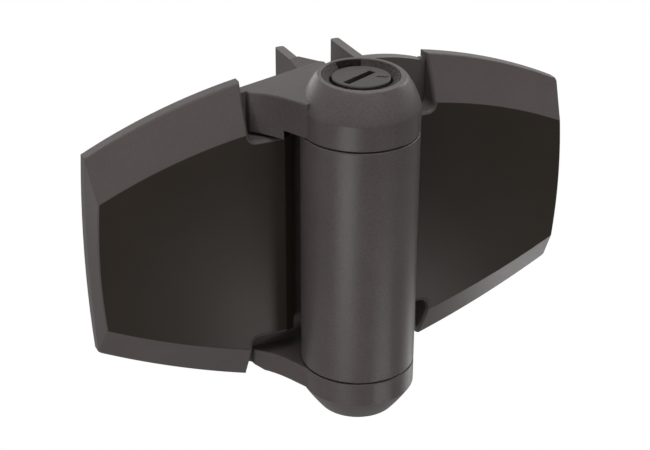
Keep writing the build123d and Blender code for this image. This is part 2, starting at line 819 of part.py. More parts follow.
def lower_anchor():
    """Keyed into the barrel, it holds the spring's lower end."""
    body = round_bar(barrel_bore_r - press_gap, lower_anchor_low, lower_anchor_high)
    for i in range(key_count):
        key = key_block(0.0, lower_anchor_low)
        body += Rot(0, 0, full_turn * i / key_count + full_turn / 2) * key
    body -= round_bar(spindle_r + running_gap, lower_anchor_low - past, lower_anchor_high + past)
    body -= Pos(spring_r, 0, lower_anchor_high) * Cylinder(wire_r + free_gap, 2 * tang_len + 2 * free_gap)
    return body


parts["lower_spring_anchor"] = lower_anchor()


def torsion_spring():
    """A close-wound helix with a straight end up into one anchor and down into the other."""
    helix = Pos(0, 0, spring_low) * Helix(spring_pitch, spring_high - spring_low, spring_r)
    start = Plane(origin=helix @ 0, z_dir=helix % 0)
    body = sweep(start * Circle(wire_r), path=helix)
    reach = spring_clear + tang_len / 2
    for z, reach in ((spring_high, reach), (spring_low, -reach)):
        body += Pos(spring_r, 0, z) * Sphere(wire_r * knee)
        body += Pos(spring_r, 0, z + reach / 2) * Cylinder(wire_r, abs(reach))
    return body


parts["torsion_spring"] = torsion_spring()


# Pivots, bushes and washers
parts["upper_pivot_sleeve"] = ring(sleeve_out_r, sleeve_in_r, sleeve_low, sleeve_high)


def bush(inner, low):
    """A flanged bush in the barrel's top end."""
    body = ring(barrel_bore_r - press_gap, inner, low, flange_low)
    return body + ring(bush_flange_r, inner, flange_low, flange_low + bush_flange_t)


def washer(inner):
    """A thrust washer between the top bush and the knuckle's face."""
    low = flange_low + bush_flange_t + axial_gap
    return ring(washer_r, inner + washer_in_gap, low, knuckle_face - axial_gap)


parts["upper_bearing_bush"] = bush(sleeve_out_r + running_gap, sleeve_low)
parts["upper_thrust_washer"] = washer(sleeve_out_r)
parts["lower_bearing_bush"] = mirror(bush(plug_r + running_gap, sleeve_low), about=Plane.XY)
parts["lower_thrust_washer"] = mirror(washer(plug_r), about=Plane.XY)

plug = round_bar(plug_r, cap_top, pivot_plug_top)
plug += round_bar(foot_cap_bore_r - press_gap, cap_top, foot_step_z)
plug -= round_bar(screw_r + press_gap, cap_top - past, screw_top + axial_gap)
parts["lower_pivot_plug"] = plug

cap = round_bar(foot_cap_bore_r - press_gap, cap_low, cap_top)
cap -= round_bar(screw_r + press_gap, cap_low - past, cap_top + past)
cap -= round_bar(screw_head_r + free_gap, cap_low - past, head_seat)
parts["foot_cap"] = cap

screw = round_bar(screw_r, head_seat, screw_top)
screw += round_bar(screw_head_r, cap_low, head_seat)
hexagon = Pos(0, 0, cap_low - past) * RegularPolygon(socket_across / cos(pi / socket_sides) / 2, socket_sides)
screw -= extrude(hexagon, amount=socket_deep + past, dir=(0, 0, 1))
parts["pivot_screw"] = screw

# The row's origin is the middle of the post leaf's four fixings, on its mounting face.
origin = Pos(fixing_x, -mount_y, 0)

os.makedirs("parts", exist_ok=True)
for name, shape in parts.items():
    export_step(origin * shape, f"parts/{name}.step")
print(len(parts), "parts written")
print("gap between the spring's turns", spring_pitch - 2 * wire_r, "mm")
print("barrel axis in the row's frame", fixing_x, -mount_y)
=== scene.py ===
"""Looks of a self-closing gate hinge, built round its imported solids.

Shapes are written in millimetres about the barrel: Z is the barrel's axis, z = 0 is the
middle of the barrel, +X is the gate's side and the mounting faces look towards +Y. They are
put into the frame's own place, in metres, when their mesh is made.
"""

import json
import logging
import math
from dataclasses import dataclass, field
from enum import Enum

import bpy
import numpy as np
from mathutils import Matrix, Vector

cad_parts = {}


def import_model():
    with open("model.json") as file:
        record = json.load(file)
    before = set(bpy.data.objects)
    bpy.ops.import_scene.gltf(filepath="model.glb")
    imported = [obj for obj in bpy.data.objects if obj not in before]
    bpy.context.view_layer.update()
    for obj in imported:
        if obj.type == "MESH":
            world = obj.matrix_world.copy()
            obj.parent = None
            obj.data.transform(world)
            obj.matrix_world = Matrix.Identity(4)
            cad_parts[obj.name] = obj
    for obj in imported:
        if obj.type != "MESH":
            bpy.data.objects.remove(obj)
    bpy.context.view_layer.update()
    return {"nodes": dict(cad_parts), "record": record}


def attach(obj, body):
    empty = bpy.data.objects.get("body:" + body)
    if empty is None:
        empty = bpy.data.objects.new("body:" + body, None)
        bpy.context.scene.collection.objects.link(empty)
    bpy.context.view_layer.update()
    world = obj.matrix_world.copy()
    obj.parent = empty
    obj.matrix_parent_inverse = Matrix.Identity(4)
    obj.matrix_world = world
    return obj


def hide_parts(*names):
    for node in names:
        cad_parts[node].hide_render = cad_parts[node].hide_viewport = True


log = logging.getLogger("hinge")

# Metres in a millimetre
MM = 0.001

# Where the barrel's axis stands in the frame, in millimetres
AXIS_PLACE = (58.0, -24.5, 0.0)

# Width in pixels of the picture that the camera's values are for
PICTURE_WIDTH = 650


# Colour and node helpers


def linear(hex_colour: str) -> tuple[float, float, float, float]:
    """Turn an sRGB hex colour into linear light, by the curve of the sRGB standard.

    Args:
        hex_colour: Six hex digits with a leading hash.

    Returns:
        Red, green, blue and alpha for a shader socket.
    """
    parts = [int(hex_colour[i : i + 2], 16) / 255 for i in (1, 3, 5)]
    light = [c / 12.92 if c <= 0.04045 else ((c + 0.055) / 1.055) ** 2.4 for c in parts]
    return (*light, 1.0)


WHITE = linear("#ffffff")


def add_node(
    tree: bpy.types.NodeTree,
    kind: str,
    settings: dict[str, object] | None = None,
    sockets: dict[str | int, object] | None = None,
) -> bpy.types.Node:
    """Add one node with its settings, socket values and links.

    Args:
        tree: The node tree that gets the node.
        kind: Blender's type name of the node.
        settings: Properties of the node itself.
        sockets: Values by input name or number; an output socket there is linked.

    Returns:
        The new node.
    """
    node = tree.nodes.new(kind)
    for name, value in (settings or {}).items():
        setattr(node, name, value)
    for name, value in (sockets or {}).items():
        target = node.inputs[name]
        if isinstance(value, bpy.types.NodeSocket):
            tree.links.new(value, target)
        else:
            target.default_value = value
    return node


def empty_material(name: str) -> bpy.types.Material:
    """Make a material with an empty node tree.

    Args:
        name: The material's name.

    Returns:
        The new material.
    """
    material = bpy.data.materials.new(name)
    material.use_nodes = True
    material.node_tree.nodes.clear()
    return material


def set_ramp(node: bpy.types.Node, places: tuple[float, float], colours: tuple[str, str]) -> None:
    """Give a colour ramp its two stops.

    Args:
        node: The ramp node.
        places: Place from 0 to 1 of each stop, in order.
        colours: sRGB hex colour of each stop.
    """
    for element, place, colour in zip(node.color_ramp.elements, places, colours):
        element.position = place
        element.color = linear(colour)


# Finishes


@dataclass(frozen=True)
class Skin:
    """Sockets that one moulded skin feeds into a shader."""

    colour: bpy.types.NodeSocket
    roughness: bpy.types.NodeSocket
    height: bpy.types.NodeSocket


@dataclass(frozen=True)
class MouldedPlastic:
    """A dark engineering plastic as it comes out of a steel mould.

    A spark-eroded mould gives a fine even grain that breaks the gloss, and the flow of the
    melt leaves faint cloudy differences in depth of colour and gloss. The real grain is about
    0.15 mm, too fine for the picture, so it is drawn at the size each finish names.
    """

    name: str
    colour: str
    cloud_colour: str
    roughness: float
    rough_spread: float
    specular: float
    grain_mm: float
    grain_height_mm: float
    cloud_mm: float = 22.0
    painted_pit_shade: float = 0.0
    ior: float = 1.53
    cloud_detail: tuple[float, float] = (3.0, 0.55)
    cloud_tints: tuple[float, float] = (0.35, 0.7)
    cloud_span: tuple[float, float] = (0.3, 0.7)
    grain_detail: tuple[float, float] = (2.0, 0.6)
    grain_span: tuple[float, float] = (0.35, 0.65)

    def noise(
        self, tree: bpy.types.NodeTree, size_mm: float, detail: tuple[float, float]
    ) -> bpy.types.NodeSocket:
        """Add noise in the object's own space.

        Args:
            tree: The material's node tree.
            size_mm: Usual size of one blot.
            detail: How many finer layers are laid over it, and how strong each one is.

        Returns:
            The socket with the noise, mostly between 0.3 and 0.7.
        """
        place = add_node(tree, "ShaderNodeTexCoord").outputs["Object"]
        sockets = {
            "Vector": place,
            "Scale": 1 / (size_mm * MM),
            "Detail": detail[0],
            "Roughness": detail[1],
        }
        return add_node(tree, "ShaderNodeTexNoise", None, sockets).outputs["Fac"]

    def skin(self, tree: bpy.types.NodeTree) -> Skin:
        """Add the nodes of this skin.

        The colour is a slow cloud of noise between two near tones, with painted shade in the
        pits of the grain and painted light on its tips; the roughness follows the same cloud,
        and the height is the grain itself.

        Args:
            tree: The material's node tree.

        Returns:
            The sockets for colour, roughness and height in metres.
        """
        cloud = self.noise(tree, self.cloud_mm, self.cloud_detail)
        grain = self.noise(tree, self.grain_mm, self.grain_detail)
        tint = add_node(tree, "ShaderNodeValToRGB", None, {"Fac": cloud})
        set_ramp(tint, self.cloud_tints, (self.colour, self.cloud_colour))
        # Painted shade darkens the colour in the pits of the grain, and painted light brightens it on the
        # tips
        pit = add_node(
            tree,
            "ShaderNodeMapRange",
            None,
            {
                "Value": grain,
                "From Min": self.grain_span[0],
                "From Max": self.grain_span[1],
                "To Min": 1 - self.painted_pit_shade,
                "To Max": 1 + self.painted_pit_shade,
            },
        )
        shaded_in_pits = add_node(
            tree,
            "ShaderNodeVectorMath",
            {"operation": "SCALE"},
            {"Vector": tint.outputs["Color"], "Scale": pit.outputs["Result"]},
        )
        rough = add_node(
            tree,
            "ShaderNodeMapRange",
            None,
            {
                "Value": cloud,
                "From Min": self.cloud_span[0],
                "From Max": self.cloud_span[1],
                "To Min": self.roughness - self.rough_spread,
                "To Max": self.roughness + self.rough_spread,
            },
        )
        height = add_node(
            tree,
            "ShaderNodeMath",
            {"operation": "MULTIPLY"},
            {0: grain, 1: self.grain_height_mm * MM},
        )
        return Skin(shaded_in_pits.outputs["Vector"], rough.outputs["Result"], height.outputs["Value"])

    def finish(self, tree: bpy.types.NodeTree, skin: Skin) -> None:
        """Join a skin to the shader and the material's output.

        Args:
            tree: The material's node tree.
            skin: What feeds the shader.
        """
        bump = add_node(
            tree, "ShaderNodeBump", None, {"Height": skin.height, "Distance": 1.0, "Strength": 1.0}
        )
        shader = add_node(
            tree,
            "ShaderNodeBsdfPrincipled",
            None,
            {
                "Base Color": skin.colour,
                "Roughness": skin.roughness,
                "Normal": bump.outputs["Normal"],
                "IOR": self.ior,
                "Specular IOR Level": self.specular,
            },
        )
        add_node(tree, "ShaderNodeOutputMaterial", None, {"Surface": shader.outputs["BSDF"]})

    def make(self) -> bpy.types.Material:
        """Build the material.

        Returns:
            The finished material.
        """
        material = empty_material(self.name)
        self.finish(material.node_tree, self.skin(material.node_tree))
        return material


@dataclass(frozen=True)
class TwoToneCover:
    """A cover moulded in one shot, its panel polished in the mould and the rest spark-eroded.

    The panel is dark and satin, while the bevels, the sides and the rounded notch edges have
    the grey bloom of the textured nylon round them. Where the panel ends is told by depth, as
    the panel is the foremost plane. The narrow strip beside the barrel lies in the barrel's
    shade and is given the panel's dark finish as painted shade.
    """

    name: str
    panel: MouldedPlastic
    rest: MouldedPlastic
    panel_y_mm: float = 12.7
    fade_mm: tuple[float, float] = (0.03, 0.12)
    shade_strip_x_mm: float = 21.9

    def make(self) -> bpy.types.Material:
        """Build the material.

        Each of colour, roughness and height is blended between the two skins by a mask that is
        0 on the panel and 1 past the fade behind it. The mask is also 0 on the strip beside the
        barrel, where the panel's dark finish is painted shade. A mix node's sockets go by
        number: 0 is the mask, 2 and 3 are its two values, and 4 and 5 its two vectors.

        Returns:
            The finished material.
        """
        material = empty_material(self.name)
        tree = material.node_tree
        panel, rest = self.panel.skin(tree), self.rest.skin(tree)
        place = add_node(tree, "ShaderNodeTexCoord").outputs["Object"]
        split = add_node(tree, "ShaderNodeSeparateXYZ", None, {"Vector": place})
        start, end = ((AXIS_PLACE[1] + self.panel_y_mm + fade) * MM for fade in self.fade_mm)
        behind = add_node(
            tree,
            "ShaderNodeMapRange",
            {"interpolation_type": "SMOOTHSTEP"},
            {"Value": split.outputs["Y"], "From Min": start, "From Max": end},
        )
        # Painted shade: the strip beside the barrel lies in the barrel's shade, so it keeps the panel's dark
        # finish
        aside = add_node(
            tree, "ShaderNodeMath", {"operation": "SUBTRACT"}, {0: split.outputs["X"], 1: AXIS_PLACE[0] * MM}
        )
        away = add_node(tree, "ShaderNodeMath", {"operation": "ABSOLUTE"}, {0: aside.outputs["Value"]})
        outside = add_node(
            tree,
            "ShaderNodeMath",
            {"operation": "GREATER_THAN"},
            {0: away.outputs["Value"], 1: self.shade_strip_x_mm * MM},
        )
        mask = add_node(
            tree,
            "ShaderNodeMath",
            {"operation": "MULTIPLY"},
            {0: behind.outputs["Result"], 1: outside.outputs["Value"]},
        ).outputs["Value"]
        colour = add_node(
            tree, "ShaderNodeMix", {"data_type": "VECTOR"}, {0: mask, 4: panel.colour, 5: rest.colour}
        )
        roughness = add_node(tree, "ShaderNodeMix", None, {0: mask, 2: panel.roughness, 3: rest.roughness})
        height = add_node(tree, "ShaderNodeMix", None, {0: mask, 2: panel.height, 3: rest.height})
        skin = Skin(colour.outputs[1], roughness.outputs[0], height.outputs[0])
        self.rest.finish(tree, skin)
        return material


@dataclass(frozen=True)
class WorkedMetal:
    """Stainless or spring steel with the marks of turning or drawing."""

    name: str
    colour: str
    mark_colour: str
    roughness: float
    mark_mm: tuple[float, float, float]
    mark_detail: float = 4.0
    mark_tints: tuple[float, float] = (0.3, 0.65)
    rougher: float = 0.08
    smoother: float = 0.06

    def make(self) -> bpy.types.Material:
        """Build the material.

        The marks are noise as long on each axis as mark_mm says: flat rings from a lathe and
        small flecks from a die. They are darker and rougher than the metal between them.

        Returns:
            The finished material.
        """
        material = empty_material(self.name)
        tree = material.node_tree
        place = add_node(tree, "ShaderNodeTexCoord").outputs["Object"]
        stretch = add_node(
            tree,
            "ShaderNodeMapping",
            None,
            {"Vector": place, "Scale": tuple(1 / (m * MM) for m in self.mark_mm)},
        )
        marks = add_node(
            tree,
            "ShaderNodeTexNoise",
            None,
            {"Vector": stretch.outputs["Vector"], "Scale": 1.0, "Detail": self.mark_detail},
        )
        tint = add_node(tree, "ShaderNodeValToRGB", None, {"Fac": marks.outputs["Fac"]})
        set_ramp(tint, self.mark_tints, (self.mark_colour, self.colour))
        rough = add_node(
            tree,
            "ShaderNodeMapRange",
            None,
            {
                "Value": marks.outputs["Fac"],
                "To Min": self.roughness + self.rougher,
                "To Max": self.roughness - self.smoother,
            },
        )
        shader = add_node(
            tree,
            "ShaderNodeBsdfPrincipled",
            None,
            {
                "Base Color": tint.outputs["Color"],
                "Metallic": 1.0,
                "Roughness": rough.outputs["Result"],
            },
        )
        add_node(tree, "ShaderNodeOutputMaterial", None, {"Surface": shader.outputs["BSDF"]})
        return material


# Glass-filled nylon from a spark-eroded mould: a warm charcoal with a broad, soft sheen
FRAME_NYLON = MouldedPlastic(
    name="glass_filled_nylon_spark_eroded",
    colour="#534c4b",
    cloud_colour="#595251",
    roughness=0.35,
    rough_spread=0.03,
    specular=0.26,
    grain_mm=0.55,
    grain_height_mm=0.06,
    painted_pit_shade=0.12,
)
# Nylon against a polished mould: a brown near black, in which a lamp shows as a soft spot
PANEL_NYLON = MouldedPlastic(
    name="nylon_panel_polished",
    colour="#302923",
    cloud_colour="#332c26",
    roughness=0.29,
    rough_spread=0.015,
    specular=0.17,
    grain_mm=0.5,
    grain_height_mm=0.006,
)
# The same cover against a spark-eroded mould: a lighter grey that spreads the light evenly
BEVEL_NYLON = MouldedPlastic(
    name="nylon_cover_rim_spark_eroded",
    colour="#585150",
    cloud_colour="#5d5655",
    roughness=0.38,
    rough_spread=0.03,
    specular=0.17,
    grain_mm=0.45,
    grain_height_mm=0.05,
    painted_pit_shade=0.06,
)
# One cover with both of these finishes: dark panels framed by pale bevels, and the panel's dark finish laid
# as painted shade on the strip beside the barrel
COVER_NYLON = TwoToneCover(name="nylon_cover_two_finishes", panel=PANEL_NYLON, rest=BEVEL_NYLON)
# Nylon with a coarse etched stipple: painted shade in its pits and painted light on its tips, and hardly any
# sheen
COLLAR_NYLON = MouldedPlastic(
    name="nylon_collar_coarse_stipple",
    colour="#221e1c",
    cloud_colour="#332e2c",
    roughness=0.55,
    rough_spread=0.05,
    specular=0.22,
    grain_mm=0.8,
    grain_height_mm=0.22,
    cloud_mm=1.2,
    painted_pit_shade=0.3,
)
# Nylon with a fine etched texture: a slightly uneven grey with a dull sheen
DIAL_NYLON = MouldedPlastic(
    name="nylon_dial_fine_moulded",
    colour="#2f2a29",
    cloud_colour="#3b3534",
    roughness=0.45,
    rough_spread=0.04,
    specular=0.3,
    grain_mm=0.7,
    grain_height_mm=0.09,
    cloud_mm=2.2,
    painted_pit_shade=0.12,
)
# Black nylon as it leaves a plain mould: even and dull
INNER_NYLON = MouldedPlastic(
    name="nylon_anchor_as_moulded",
    colour="#2e2c2d",
    cloud_colour="#343233",
    roughness=0.5,
    rough_spread=0.05,
    specular=0.5,
    grain_mm=0.6,
    grain_height_mm=0.03,
)
# Natural acetal as it leaves a plain mould: a creamy white with a waxy gloss
ACETAL = MouldedPlastic(
    name="acetal_bearing_as_moulded",
    colour="#d9d5c9",
    cloud_colour="#e2dfd4",
    roughness=0.38,
    rough_spread=0.04,
    specular=0.5,
    grain_mm=0.4,
    grain_height_mm=0.01,
    ior=1.48,
)
# Stainless steel from the lathe: bright, with fine rings round its axis
TURNED_STAINLESS = WorkedMetal(
    name="stainless_steel_turned",
    colour="#c4c3c0",
    mark_colour="#a9a8a5",
    roughness=0.3,
    mark_mm=(4.0, 4.0, 0.25),
)
# Spring wire drawn through a die: a darker steel with a broken gloss
SPRING_STEEL = WorkedMetal(
    name="spring_steel_drawn_wire",
    colour="#8f9092",
    mark_colour="#6f7073",
    roughness=0.38,
    mark_mm=(0.6, 0.6, 0.6),
)


class Slot(Enum):
    """The record's material slots."""

    FRAME = "textured_nylon"
    COVER = "cover_nylon"
    COLLAR = "collar_nylon"
    DIAL = "dial_nylon"
    INNER = "inner_nylon"
    ACETAL = "acetal"
    STAINLESS = "stainless"
    SPRING = "spring_steel"


FINISHES = {
    Slot.FRAME: FRAME_NYLON,
    Slot.COVER: COVER_NYLON,
    Slot.COLLAR: COLLAR_NYLON,
    Slot.DIAL: DIAL_NYLON,
    Slot.INNER: INNER_NYLON,
    Slot.ACETAL: ACETAL,
    Slot.STAINLESS: TURNED_STAINLESS,
    Slot.SPRING: SPRING_STEEL,
}


@dataclass
class Wardrobe:
    """Holds each finish's material, made once."""

    made: dict[Slot, bpy.types.Material] = field(default_factory=dict)

    def material(self, slot: Slot) -> bpy.types.Material:
        """Find the material of a slot, making it the first time.

        Args:
            slot: The record's slot.

        Returns:
            The slot's material.
        """
        if slot not in self.made:
            self.made[slot] = FINISHES[slot].make()
        return self.made[slot]

    def dress(self, piece: bpy.types.Object, slot: Slot) -> None:
        """Give a piece the one material of its slot.

        Args:
            piece: A carried-over node or a new piece.
            slot: The slot that it takes.
        """
        piece.data.materials.clear()
        piece.data.materials.append(self.material(slot))


# Stage


@dataclass(frozen=True)
class Softbox:
    """A rectangular soft light that faces the hinge.

    Azimuth turns from the front (-Y) towards the gate's side (+X) and elevation rises from
    the floor's level. Radiance is the brightness of its face, where 1 is a white surface.
    Distance, size and aim are in millimetres, and aim is about the barrel's middle.
    """

    name: str
    azimuth_deg: float
    elevation_deg: float
    distance: float
    size: tuple[float, float]
    radiance: float
    aim: tuple[float, float, float] = (0.0, 0.0, 0.0)

    def hang(self) -> None:
        """Add the light to the scene."""
        az, el = math.radians(self.azimuth_deg), math.radians(self.elevation_deg)
        away = Vector((math.sin(az) * math.cos(el), -math.cos(az) * math.cos(el), math.sin(el)))
        data = bpy.data.lights.new(self.name, "AREA")
        data.shape = "RECTANGLE"
        data.size, data.size_y = self.size[0] * MM, self.size[1] * MM
        data.energy = self.radiance * math.pi * data.size * data.size_y
        lamp = bpy.data.objects.new(self.name, data)
        aim = (Vector(self.aim) + Vector(AXIS_PLACE)) * MM
        turn = (-away).to_track_quat("-Z", "Y").to_matrix().to_4x4()
        lamp.matrix_world = Matrix.Translation(aim + away * self.distance * MM) @ turn
        bpy.context.scene.collection.objects.link(lamp)


# The studio's soft lights. The overhead, side and back ones shape the barrel and the bevels, the
# two glows from the table light what faces down, and the two sheens show as spots in the panels
LAMPS = (
    Softbox("overhead_front", 0, 75, 900, (350, 350), 5.8),
    Softbox("side_left_high", -72, 66, 900, (350, 350), 1.4),
    Softbox("key_front_right", 16, 40, 900, (160, 160), 2.4),
    Softbox("side_left", -112, -12, 800, (300, 300), 2.3),
    Softbox("back_right", 108, 30, 900, (350, 350), 4.0),
    Softbox("table_glow_left", -49, -21, 560, (290, 110), 7.4),
    Softbox("table_glow_right", 165, -72, 170, (110, 110), 1.9, (202.0, -8.0, -26.0)),
    Softbox("back_fill", 195, 5, 900, (700, 500), 1.5),
    Softbox("table_sheen_left", 21.5, -27.6, 306, (45, 45), 8.5, (-22.0, 12.7, -55.0)),
    Softbox("table_sheen_right", 27.3, -27.1, 318, (45, 45), 8.5, (30.0, 12.7, -55.0)),
)


@dataclass
class Stage:
    """Floor, lights and camera.

    Lengths are in millimetres, and those of the picture in pixels. The camera's values were
    fitted to edges and outlines of the photograph. Room is the brightness of the world as a
    light, and floor_gloss is how much of the floor's plain white a gloss sees.
    """

    lamps: tuple[Softbox, ...] = LAMPS
    room: float = 0.36
    floor_z: float = -300.0
    floor_half: float = 20000.0
    floor_gloss: float = 0.1
    paper: str = "#a8a8a8"
    azimuth_deg: float = 24.63
    elevation_deg: float = 26.42
    roll_deg: float = 0.25
    distance: float = 540.9
    slide: tuple[float, float] = (-9.93, 50.23)
    focal_px: float = 1513.0
    centre_px: tuple[float, float] = (5.11, -6.69)
    barrel_low: float = -45.6
    sensor_mm: float = 36.0
    clip_m: tuple[float, float] = (0.01, 100.0)

    def camera(self) -> None:
        """Set the camera where the photograph was taken from.

        The camera looks along azimuth and elevation at a point slid sideways and upwards
        from the barrel's foot, and the picture's centre is moved by the lens shift.
        """
        az, el, roll = (math.radians(a) for a in (self.azimuth_deg, self.elevation_deg, self.roll_deg))
        ahead = Vector((math.sin(az) * math.cos(el), math.cos(az) * math.cos(el), -math.sin(el)))
        right = Vector((math.cos(az), -math.sin(az), 0.0))
        up = right.cross(ahead)
        place = -self.distance * ahead + self.slide[0] * right + self.slide[1] * up
        place += Vector(AXIS_PLACE) + Vector((0, 0, self.barrel_low))
        right, up = (
            math.cos(roll) * right + math.sin(roll) * up,
            -math.sin(roll) * right + math.cos(roll) * up,
        )
        data = bpy.data.cameras.new("camera")
        data.sensor_width = self.sensor_mm
        data.lens = self.focal_px / PICTURE_WIDTH * self.sensor_mm
        data.shift_x = -self.centre_px[0] / PICTURE_WIDTH
        data.shift_y = self.centre_px[1] / PICTURE_WIDTH
        data.clip_start, data.clip_end = self.clip_m
        turn = Matrix((right, up, -ahead)).transposed().to_4x4()
        camera = bpy.data.objects.new("camera", data)
        camera.matrix_world = Matrix.Translation(place * MM) @ turn
        bpy.context.scene.collection.objects.link(camera)
        bpy.context.scene.camera = camera

    def seen(self, tree: bpy.types.NodeTree, in_gloss: float) -> bpy.types.NodeSocket:
        """Add nodes that are 1 for rays that show the backdrop, seen straight or in a gloss.

        Args:
            tree: The node tree that gets the nodes.
            in_gloss: How much of the plain white a glossy surface sees. Below 1 it sees some
                of the lit paper too, with the hinge's own shadow on it.

        Returns:
            The socket with the share of plain white.
        """
        rays = add_node(tree, "ShaderNodeLightPath").outputs
        gloss = add_node(
            tree, "ShaderNodeMath", {"operation": "MULTIPLY"}, {0: rays["Is Glossy Ray"], 1: in_gloss}
        )
        glossy = add_node(
            tree,
            "ShaderNodeMath",
            {"operation": "MAXIMUM"},
            {0: gloss.outputs["Value"], 1: rays["Is Transmission Ray"]},
        )
        both = {0: rays["Is Camera Ray"], 1: glossy.outputs["Value"]}
        return add_node(tree, "ShaderNodeMath", {"operation": "MAXIMUM"}, both).outputs["Value"]

    def floor(self) -> None:
        """Lay a plain pale floor that the camera and glossy surfaces see as white."""
        half = self.floor_half
        corners = np.array([(-half, -half), (half, -half), (half, half), (-half, half)])
        points = np.column_stack([corners, np.full(4, self.floor_z)]) + np.array(AXIS_PLACE)
        mesh = bpy.data.meshes.new("floor")
        mesh.from_pydata((points * MM).tolist(), [], [(0, 1, 2, 3)])
        floor = bpy.data.objects.new("floor", mesh)
        bpy.context.scene.collection.objects.link(floor)
        material = empty_material("white_paper_sweep")
        tree = material.node_tree
        paper = add_node(tree, "ShaderNodeBsdfDiffuse", None, {"Color": linear(self.paper)})
        white = add_node(tree, "ShaderNodeEmission", None, {"Color": WHITE, "Strength": 1.0})
        mix = add_node(
            tree,
            "ShaderNodeMixShader",
            None,
            {0: self.seen(tree, self.floor_gloss), 1: paper.outputs["BSDF"], 2: white.outputs["Emission"]},
        )
        add_node(tree, "ShaderNodeOutputMaterial", None, {"Surface": mix.outputs["Shader"]})
        mesh.materials.append(material)

    def world(self) -> None:
        """Light the room softly, with a white backdrop for the camera and for glossy surfaces."""
        world = bpy.data.worlds.new("studio")
        bpy.context.scene.world = world
        world.use_nodes = True
        tree = world.node_tree
        tree.nodes.clear()
        room = add_node(tree, "ShaderNodeBackground", None, {"Color": WHITE, "Strength": self.room})
        backdrop = add_node(tree, "ShaderNodeBackground", None, {"Color": WHITE, "Strength": 1.0})
        mix = add_node(
            tree,
            "ShaderNodeMixShader",
            None,
            {0: self.seen(tree, 1.0), 1: room.outputs["Background"], 2: backdrop.outputs["Background"]},
        )
        add_node(tree, "ShaderNodeOutputWorld", None, {"Surface": mix.outputs["Shader"]})

    def build(self) -> None:
        """Set the whole stage."""
        self.camera()
        self.world()
        self.floor()
        for lamp in self.lamps:
            lamp.hang()


# New pieces


def grid_faces(rows: int, columns: int) -> np.ndarray:
    """Number the four-sided faces of a grid of points that closes on itself both ways.

    Args:
        rows: Points along the first direction.
        columns: Points along the second direction.

    Returns:
        One row of four point numbers for each face.
    """
    number = np.arange(rows * columns).reshape(rows, columns)
    down, right = np.roll(number, -1, 0), np.roll(number, -1, 1)
    return np.stack([number, down, np.roll(down, -1, 1), right], axis=-1).reshape(-1, 4)


def make_piece(
    name: str,
    points: np.ndarray,
    faces: np.ndarray,
    body: str,
    sharp_deg: float = 35.0,
) -> bpy.types.Object:
    """Make a closed mesh piece with its faces outwards and let it ride on a body.

    The volume that the faces enclose is the sum of their signed pyramids to the points'
    middle, and where it is negative the faces are turned round.

    Args:
        name: The piece's name.
        points: Places about the barrel in millimetres, one row each.
        faces: Four point numbers for each face.
        body: The CAD body that it rides on.
        sharp_deg: Edges that bend more than this stay sharp.

    Returns:
        The new object.
    """
    place = (points + np.array(AXIS_PLACE)) * MM
    corner = (points - points.mean(axis=0))[faces]
    halves = [(corner[:, 0], corner[:, i], corner[:, i + 1]) for i in (1, 2)]
    volume = sum(np.einsum("ij,ij->i", a, np.cross(b, c)).sum() for a, b, c in halves)
    if volume < 0:
        faces = faces[:, ::-1]
    mesh = bpy.data.meshes.new(name)
    mesh.from_pydata(place.tolist(), [], faces.tolist())
    mesh.shade_smooth()
    mesh.set_sharp_from_angle(angle=math.radians(sharp_deg))
    piece = bpy.data.objects.new(name, mesh)
    bpy.context.scene.collection.objects.link(piece)
    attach(piece, body)
    log.info("made %s with %d faces", name, len(faces))
    return piece


